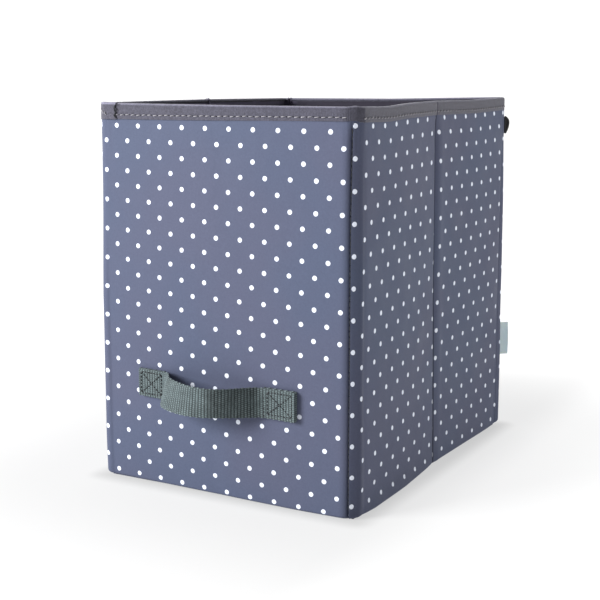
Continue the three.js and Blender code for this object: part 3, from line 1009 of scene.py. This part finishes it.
def make_tape_overlap():
    """The tape's last end laps over its first end near the left of the front wall."""
    end_u, start_u = -(HALF_W - 22 * MM), -(FLAT + 7 * MM)
    profile = [(-TAPE_T, z) for z in np.linspace(TAPE_FOOT - 0.3 * MM, RIM_Z - 1.2 * MM, 6)]
    profile += [(-0.3 * MM, RIM_Z + 0.2 * MM), (1.6 * MM, RIM_Z + 0.5 * MM), (1.6 * MM, RIM_Z - 0.05 * MM)]
    profile += [(0.5 * MM, RIM_Z - 0.6 * MM), (0.0, RIM_Z - 1.8 * MM), (0.0, TAPE_FOOT - 0.3 * MM)]
    lap = swept("tape_overlap", fixed(start_u), fixed(end_u), profile, "tape", plain_chart, tape_surface)
    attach(lap, "front")

    def on_lap(points, start, lift, stretch):
        """Points of the lap's face, from pairs of millimetres along it and above the tape's foot."""
        return [
            tape_surface(start + a * MM, -TAPE_T - lift, TAPE_FOOT + stretch * b * MM) for a, b in points
        ]

    # The raw end is overcast by hand in dark thread, and the start is caught with three light stitches.
    strands = [
        [(4.2, 14.8), (1.6, 13.6), (0.2, 11.2), (0.6, 8.4), (1.6, 6.2), (1.0, 3.4), (2.0, 0.6)],
        [(0.0, 11.8), (2.6, 9.6), (2.0, 6.6), (0.2, 4.2), (0.8, 1.6)],
    ]
    dark = []
    for strand in strands:
        dark.append(on_lap(catmull(strand, 26)[0], end_u - 1.4 * MM, 0.35 * MM, 0.8))
    light = []
    for left, low in ((3.0, 6.0), (5.4, 4.6), (8.6, 3.2)):
        points = [(left, low + 2.6), (left + 0.7, low + 1.2), (left + 1.7, low), (left + 2.2, low + 1.6)]
        light.append(on_lap(points, start_u, 0.25 * MM, 1))
    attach(stitches("overlap_dark_stitch", dark, 0.36 * MM, "dark_thread"), "front")
    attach(stitches("overlap_light_stitch", light, 0.34 * MM, "light_thread"), "front")


def make_inner_folds():
    """The lining is gathered into small dark folds at the left crease and the back left inside corner."""
    crease, corner = -SIDE_U - SIDE / 2, FLAT - END_U
    # Name, body, where each fold is, and how far it runs down from the rim
    folds = [
        ("left_front", "left_front", [crease + 1.5 * MM], 7 * MM),
        ("back_left", "back", [corner + 4 * MM, corner - 0.7 * MM], 16 * MM),
    ]
    for name, body, places, fall in folds:
        lines = []
        for u in places:
            heights = np.linspace(RIM_Z + 0.4 * MM, RIM_Z - fall, 9)
            lines.append([plain_surface(np.float64(u), WALL_T - 0.5 * MM, z) for z in heights])
        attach(stitches(f"lining_fold_{name}", lines, 0.9 * MM, "lining"), body)


def make_back():
    """The back wall runs across the end of u, so it is swept from left to right by x."""
    for name, material, chart, profile, shape, node in (
        ("cloth_back", "dotted", front_chart, COVER, surface, "back_cover"),
        ("lining_back_cloth", "lining", plain_chart, LINING, lining_surface, "back_lining"),
        ("tape_back", "tape", plain_chart, TAPE, tape_surface, "back_rim_tape"),
        ("board_back", "board", plain_chart, BOARD, plain_surface, "back_board"),
    ):
        right = seam_u if name == "cloth_back" else fixed(FLAT)
        depth, z = np.array(profile).T
        steps = stations(-FLAT, float(right(RIM_Z / 2)))
        t = with_guides((steps + FLAT) / (steps[-1] + FLAT))
        z = z[None, :] + 0 * t
        x = -FLAT + t * (right(z) + FLAT)
        u = np.where(x < 0, -1, 1) * (END_U - np.abs(x))
        uvs = np.stack(np.broadcast_arrays(*chart(x, z)), -1)
        made = loft(name, shape(u, depth[None, :] + 0 * t, z), uvs, material)
        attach(made, "back")
        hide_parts(node)


# ---------------------------------------------------------------- bottom and base panel
UNDERSIDE_INSET = 4.2 * MM
UNDERSIDE_LAYERS = (0.25 * MM, 1.05 * MM)


def make_bottom():
    """The fabric of the underside, drawn in at the creases; it rides on the front wall."""
    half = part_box("bottom_cover")[1]
    across, along = 24, 60
    verts, uvs = [], []
    for z in UNDERSIDE_LAYERS:
        for j in range(along):
            for i in range(across):
                a, b = -1 + 2 * i / (across - 1), -1 + 2 * j / (along - 1)
                x = a * (half.x - UNDERSIDE_INSET - CREASE_INSET * (1 - abs(b)))
                y = b * (half.y - UNDERSIDE_INSET)
                sag = 0.15 * MM * math.sin(9 * a) * math.sin(13 * b)
                verts.append((x, y, z + abs(sag)))
                uvs.append((x / MM, y / MM))
    made = add_object("cloth_underside", verts, layered_faces(along, across), "dotted", uvs)
    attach(made, "front")
    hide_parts("bottom_cover")
    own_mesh(made)


def rounded_slab(name, lo, hi, radius, material):
    """A flat slab with round corners in plan and rounded edges, as one closed mesh."""
    half, centre = (hi - lo) / 2, (hi + lo) / 2
    # Each row of the edge: how far in from the plan outline, and its height
    rows = [(0.05, lo.z), (0.02, lo.z)]
    for a in np.linspace(-math.pi / 2, math.pi / 2, 9):
        rows.append((half.z * (1 - math.cos(a)), centre.z + half.z * math.sin(a)))
    rows += [(0.02, hi.z), (0.05, hi.z)]
    per = 12
    verts, uvs = [], []
    for inset, z in rows:
        r = max(radius - inset, 1 * MM)
        for q, (sx, sy) in enumerate(((1, -1), (1, 1), (-1, 1), (-1, -1))):
            for k in range(per + 1):
                a = (q - 1 + k / per) * math.pi / 2
                x = centre.x + sx * (half.x - inset - r) + r * math.cos(a)
                y = centre.y + sy * (half.y - inset - r) + r * math.sin(a)
                verts.append((x, y, z))
                uvs.append((x / MM, y / MM))
    around = 4 * (per + 1)
    faces = grid_faces(len(rows), around, closed=True)
    faces.append(tuple(range(around))[::-1])
    faces.append(tuple(range(len(verts) - around, len(verts))))
    return add_object(name, verts, faces, material, uvs, 60)


def make_base_panel():
    """The stiff panel that lies on the underside, and its two covers."""
    for node, material in (("base_underside", "lining"), ("base_board", "board"), ("base_lining", "lining")):
        lo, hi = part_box(node)
        made = rounded_slab(f"panel_{node}", lo, hi, 4 * MM, material)
        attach(made, "base_panel")
        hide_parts(node)


# ---------------------------------------------------------------- stitches
def tube_parts(points, radius, sides=6):
    """A thin closed tube along a short line of points, thinner at both ends."""
    points = [Vector(p) for p in points]
    verts = []
    n = len(points)
    for i, p in enumerate(points):
        ahead = points[min(i + 1, n - 1)] - points[max(i - 1, 0)]
        ahead.normalize()
        side = ahead.cross(Vector((0, 0, 1)) if abs(ahead.z) < 0.8 else Vector((1, 0, 0))).normalized()
        up = side.cross(ahead)
        r = radius * (0.45 if i in (0, n - 1) else 1.0)
        for k in range(sides):
            a = 2 * math.pi * k / sides
            verts.append(p + side * (r * math.cos(a)) + up * (r * math.sin(a)))
    faces = grid_faces(n, sides, closed=True)
    faces.append(tuple(range(sides))[::-1])
    faces.append(tuple(range((n - 1) * sides, n * sides)))
    return verts, faces


def stitches(name, lines, radius, material):
    """One mesh of many short threads, each a line of points."""
    verts, faces = [], []
    for line in lines:
        v, f = tube_parts(line, radius)
        faces += [tuple(i + len(verts) for i in face) for face in f]
        verts += v
    return add_object(name, verts, faces, material, [(0.0, 0.0)] * len(verts), 180)


def stitch_on(place_at, start, end, lift, sink, count=5):
    """One stitch: points of a shallow arch over the surface that place_at(t, height) gives."""
    line = []
    for k in range(count):
        t = k / (count - 1)
        height = sink + (lift - sink) * math.sin(math.pi * t) ** 0.6
        line.append(place_at(start + (end - start) * t, height))
    return line


def make_rim_stitches():
    """One row of light stitches round the tape. Between each two, a short dark thread piece paints the shade
    in a needle hole.
    """
    pitch = 5.3 * MM
    z = TAPE_FOOT + 3.4 * MM
    runs = [(name, body, blend, plain) for name, body, blend, _, plain in STRETCHES]
    runs.append(("back", "back", None, (-FLAT, FLAT)))
    for name, body, blend, (lo, hi) in runs:
        light, dark = [], []
        # The right side's stitches are shorter, thicker and steeper.
        on_right = "right" in name
        length, slant, hole_half = (2.0 * MM, 0.75, 0.25 * MM) if on_right else (3.3 * MM, 0.16, 0.5 * MM)
        radii = (0.46 * MM, 0.26 * MM) if on_right else (0.34 * MM, 0.55 * MM)
        count = int((hi - lo) / pitch)
        for k in range(count):
            u = lo + (k + 0.5) * (hi - lo) / count
            # The row breaks off round the front right corner.
            if FLAT - 2 * MM < u < SIDE_U - 2 * MM:
                continue
            at = z + 0.2 * MM * math.sin(k * 1.9)

            def outside(spot, height, at=at, middle=u):
                round_bin = spot
                if name == "back":
                    round_bin = (END_U - abs(spot)) * (-1 if spot < 0 else 1)
                lean = slant * (spot - middle) if abs(spot - middle) < 0.6 * length else 0.0
                return tape_surface(np.float64(round_bin), -height, np.float64(at + lean))

            light.append(stitch_on(outside, u - length / 2, u + length / 2, 0.4 * MM, 0.05 * MM))
            # Painted shade: a short dark piece sunk at each needle hole.
            hole = u + pitch / 2
            if hole + hole_half < hi:
                dark.append(stitch_on(outside, hole - hole_half, hole + hole_half, 0.1 * MM, -0.1 * MM, 3))
        for kind, lines, radius in zip(("light", "dark"), (light, dark), radii):
            made = stitches(f"rim_{kind}_stitch_{name}", lines, radius, f"{kind}_thread")
            place(made, body, blend)


def make_seam_stitches():
    """Dark stitching down each corner seam, sunk in its groove. Set almost end to end, the stitches also
    paint the groove's shade as one dark line.
    """
    pitch, length = 4.4 * MM, 3.9 * MM
    for name, body, at_back in (("front_right", "front", False), ("back_right", "back", True)):
        edge = seam(1, at_back)
        beside = (-0.3 if at_back else 0.3) * MM

        def down(z, lift):
            z = np.float64(z)
            return surface(edge(z) + beside, COVER_D - lift, z, 1.0)

        lines = []
        for k in range(int((TAPE_FOOT - 8 * MM) / pitch)):
            z = 7 * MM + k * pitch
            lines.append(stitch_on(down, z, z + length, 0.4 * MM, 0.2 * MM))
        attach(stitches(f"seam_stitch_{name}", lines, 0.5 * MM, "dark_thread"), body)


# ---------------------------------------------------------------- handle
HANDLE = {name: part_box(name) for name in ("handle_end_left", "handle_strap", "handle_end_right")}
WEB_LOW = HANDLE["handle_strap"][0].z
WEB_HIGH = HANDLE["handle_strap"][1].z
WEB_Z = (WEB_LOW + WEB_HIGH) / 2
WEB_HALF = (WEB_HIGH - WEB_LOW) / 2
WEB_T = 1.5 * MM
# How far out from the wall the webbing's middle is: the layer tucked under, and the one over it
TUCK_OUT = 1.05 * MM
PAD_OUT = 2.9 * MM
PAD_LEFT = (-74.9 * MM, -51.5 * MM)
PAD_RIGHT = (39.5 * MM, 67 * MM)
HANDLE_TILT = -0.019
# The strap's upper and lower edge: place along the wall and distance out from it, in millimetres. At
# least fifteen of these points weren't chosen by hand: another program worked them out from places
# read off the photo.
BOW_HIGH = [(-74.9, 2.9), (-68, 2.9), (-58, 2.9), (-51, 3), (-44.6, 6), (-40.2, 11.5), (-35.4, 16.9),
            (-22.8, 24.1), (-7.5, 29.2), (3.7, 29.6), (12.5, 27.0), (19.8, 21.7), (25.9, 15.0),
            (30.7, 9.8), (35.9, 5.4), (42.6, 3.2), (48, 2.9), (58, 2.9), (67, 3.5)]
BOW_LOW = [(-74.9, 2.9), (-68, 2.9), (-58, 2.9), (-51.2, 3.4), (-48, 7.5), (-45.9, 13.5), (-42.3, 18.8),
           (-35, 23.4), (-26.1, 26.8), (-16, 28.9), (-8.1, 29.0), (1.1, 26.8), (9.2, 22.6), (17, 17.8),
           (27, 10.8), (34, 5.6), (40, 3.2), (48, 2.9), (58, 2.9), (67, 3.5)]


def catmull(points, steps):
    """A smooth line through the points, evenly spaced along its length."""
    p = np.array([points[0]] + list(points) + [points[-1]], float)
    out = []
    for i in range(1, len(p) - 2):
        for t in np.linspace(0, 1, 24, endpoint=False):
            a, b, c, d = p[i - 1], p[i], p[i + 1], p[i + 2]
            square, cube = 2 * a - 5 * b + 4 * c - d, 3 * b - a - 3 * c + d
            out.append(0.5 * (2 * b + (c - a) * t + square * t**2 + cube * t**3))
    out = np.array(out + [p[-2]])
    lengths = np.concatenate([[0], np.cumsum(np.linalg.norm(np.diff(out, axis=0), axis=1))])
    even = np.linspace(0, lengths[-1], steps)
    return np.stack([np.interp(even, lengths, out[:, k]) for k in range(out.shape[1])], -1), even


def wall_y(x):
    """The front wall's outer face at that x, on the handle's height."""
    return float(surface(np.float64(x), COVER_D, np.float64(WEB_Z), 0.0)[1])


def web_half(x):
    """Half the webbing's height: the sewn pads are drawn in a little."""
    return WEB_HALF * (0.885 + 0.065 * smooth(x, -56 * MM, -46 * MM) - 0.015 * smooth(x, 30 * MM, 44 * MM))


def webbing_band(name, low, high, along):
    """Webbing between two edge lines of (x, y) points, with raised ribs across both faces."""
    ribs = 0.34 * MM * np.abs(np.cos(math.pi * along / RIB_PITCH)) ** 0.6
    cross = np.linspace(-1, 1, 17)
    loop = [(c, 1) for c in cross] + [(c, -1) for c in cross[::-1]]
    grid, uvs = [], []
    for c, side in loop:
        path = low + (high - low) * (c + 1) / 2
        tangent = np.gradient(path, axis=0)
        tangent /= np.linalg.norm(tangent, axis=1)[:, None]
        edge = 1 - 0.6 * max(0.0, (abs(c) - 0.86) / 0.14) ** 2
        knuckle = 0.4 * MM * np.cos(math.pi * along / RIB_PITCH / 2) ** 2 * (abs(c) > 0.99)
        reach = side * edge * (WEB_T / 2 + ribs)
        x = path[:, 0] + tangent[:, 1] * reach
        y = path[:, 1] - tangent[:, 0] * reach
        half = web_half(path[:, 0])
        z = WEB_Z + c * half + HANDLE_TILT * path[:, 0] + math.copysign(1, c) * knuckle
        grid.append(np.stack([x, y, z], -1))
        uvs.append(np.stack([along / MM, c * half / MM], -1))
    grid, uvs = np.stack(grid, 1), np.stack(uvs, 1)
    grid = np.concatenate([grid[:1], grid, grid[-1:]])
    uvs = np.concatenate([uvs[:1], uvs, uvs[-1:]])
    grid[0] += grid[1] - grid[2]
    grid[-1] += grid[-2] - grid[-3]
    return loft(name, grid, uvs, "webbing")


def make_handle():
    """The strap, baked where it stands, and the layers tucked under it, which ride on the front wall."""
    edges = []
    for points in (BOW_LOW, BOW_HIGH):
        line, along = catmull(points, 560)
        edges.append(np.array([(x * MM, wall_y(x * MM) - out * MM) for x, out in line]))
    strap = webbing_band("webbing_strap", edges[0], edges[1], along * MM)
    face = wall_y(0)
    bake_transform(strap)
    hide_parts("handle_strap")
    for name, node, (x0, x1) in (
        ("webbing_tuck_left", "handle_end_left", PAD_LEFT),
        ("webbing_tuck_right", "handle_end_right", PAD_RIGHT),
    ):
        steps = np.linspace(x0 + 0.2 * MM, x1, 130)
        under = np.array([(x, wall_y(x) - TUCK_OUT) for x in steps])
        tuck = webbing_band(name, under, under, steps - x0)
        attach(tuck, "front")
        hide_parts(node)
    make_box_stitches()


def pad_point(x, z, lift):
    """A point on the front of a sewn pad, out from the wall by the two webbing layers."""
    return Vector((x, wall_y(x) - PAD_OUT - WEB_T / 2 - lift, z + HANDLE_TILT * x))


def sewn_line(a, b, pitch=2.7 * MM, length=2.0 * MM):
    """Stitches along a straight line between two (x, z) points on a pad."""
    a, b = Vector(a), Vector(b)
    count = max(1, round((b - a).length / pitch))
    lines = []
    for k in range(count):
        middle = a.lerp(b, (k + 0.5) / count)
        ahead = (b - a).normalized() * (length / 2)

        def over(t, lift, middle=middle, ahead=ahead):
            p = middle + ahead * t
            return pad_point(p.x, p.y, lift)

        lines.append(stitch_on(over, -1.0, 1.0, 0.55 * MM, 0.1 * MM))
    return lines


def box_x(x0, x1, z0, z1):
    """A sewn rectangle with its two diagonals."""
    corners = [(x0, z0), (x1, z0), (x1, z1), (x0, z1)]
    lines = []
    for k in range(4):
        lines += sewn_line(corners[k], corners[(k + 1) % 4])
    lines += sewn_line(corners[0], corners[2]) + sewn_line(corners[1], corners[3])
    return lines


def make_box_stitches():
    """An X-box on each sewn pad, and one more line beside the right one."""
    low, high = WEB_Z - 0.68 * WEB_HALF, WEB_Z + 0.72 * WEB_HALF
    lines = box_x(PAD_LEFT[0] + 2.4 * MM, PAD_LEFT[0] + 22.3 * MM, low, high)
    lines += box_x(PAD_RIGHT[1] - 23 * MM, PAD_RIGHT[1] - 2.4 * MM, low, high)
    x = PAD_RIGHT[1] - 26 * MM
    lines += sewn_line((x, WEB_Z - 0.9 * WEB_HALF), (x, WEB_Z + 0.9 * WEB_HALF))
    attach(stitches("handle_box_stitch", lines, 0.4 * MM, "dark_thread"), "front")


# ---------------------------------------------------------------- label and hang loop
def make_label():
    """A folded satin tab: a thin closed layer that runs out, round its fold and back, and sways."""
    lo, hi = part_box("care_label")
    out = Vector((1, 1, 0)).normalized()
    side = Vector((1, -1, 0)).normalized()
    start = Vector((lo.x, lo.y, 0))
    reach = (Vector((hi.x, hi.y, 0)) - start).length - 0.6 * MM
    half, wall, fold = 0.6 * MM, 0.35 * MM, 0.36 * MM
    leg = [(reach * k / 21, half * (1 - 0.4 * (k / 21))) for k in range(22)]
    turns = [-math.pi / 2 + math.pi * k / 8 for k in range(1, 8)]
    profile = [(a, -b) for a, b in leg]
    profile += [(reach + fold * math.cos(t), fold * math.sin(t)) for t in turns]
    profile += leg[::-1]
    rows = 14
    verts, uvs = [], []
    for shrink in (0, wall):
        for j in range(rows):
            up = j / (rows - 1)
            z = lo.z + (hi.z - lo.z) * up
            for a, b in profile:
                sway = 0.9 * MM * (a / reach) ** 2 * math.sin(3.2 * up + 0.4)
                p = start + out * (a - shrink * 0.5) + side * (b * (1 - shrink / half) + sway)
                verts.append((p.x, p.y, z))
                uvs.append((a / MM, z / MM))
    made = add_object("label_fold", verts, layered_faces(rows, len(profile)), "label", uvs)
    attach(made, "back")
    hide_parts("care_label")


def make_loop():
    """A doubled loop of cord whose ends go into the back right seam."""
    lo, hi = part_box("hang_loop")
    out = Vector((1, 1, 0)).normalized()
    middle = (lo + hi) / 2
    base = Vector((lo.x + 0.2 * MM, lo.y + 0.2 * MM, middle.z))
    reach = (Vector((hi.x, hi.y, 0)) - Vector((lo.x, lo.y, 0))).length - 3.6 * MM
    rise = (hi.z - lo.z) / 2
    cord, sides_of_cord = 2.0 * MM, 12
    verts, faces = [], []
    # The outer and the inner turn of the cord
    for far in (reach - 0.6 * MM, reach - 3.4 * MM):
        line = []
        for k in range(41):
            t = -1 + 2 * k / 40
            lean = 0.35 * rise * (1 - abs(t))
            up = rise * math.copysign(abs(t) ** 0.8, t) + lean - 0.4 * MM
            line.append(base + out * (far * (1 - abs(t) ** 1.7)) + Vector((0, 0, up)))
        tube, sides = tube_parts(line, cord, sides_of_cord)
        faces += [tuple(i + len(verts) for i in side) for side in sides]
        verts += tube
    uvs = [((i // sides_of_cord) * 0.45, (i % sides_of_cord) * 0.6) for i in range(len(verts))]
    made = add_object("cord_loop", verts, faces, "cord", uvs, 180)
    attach(made, "back")
    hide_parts("hang_loop")


make_camera()
make_light()
make_floor(glowing_floor())
make_walls()
make_tape_overlap()
make_back()
make_inner_folds()
make_bottom()
make_base_panel()
make_rim_stitches()
make_seam_stitches()
make_handle()
make_label()
make_loop()

bpy.context.view_layer.update()
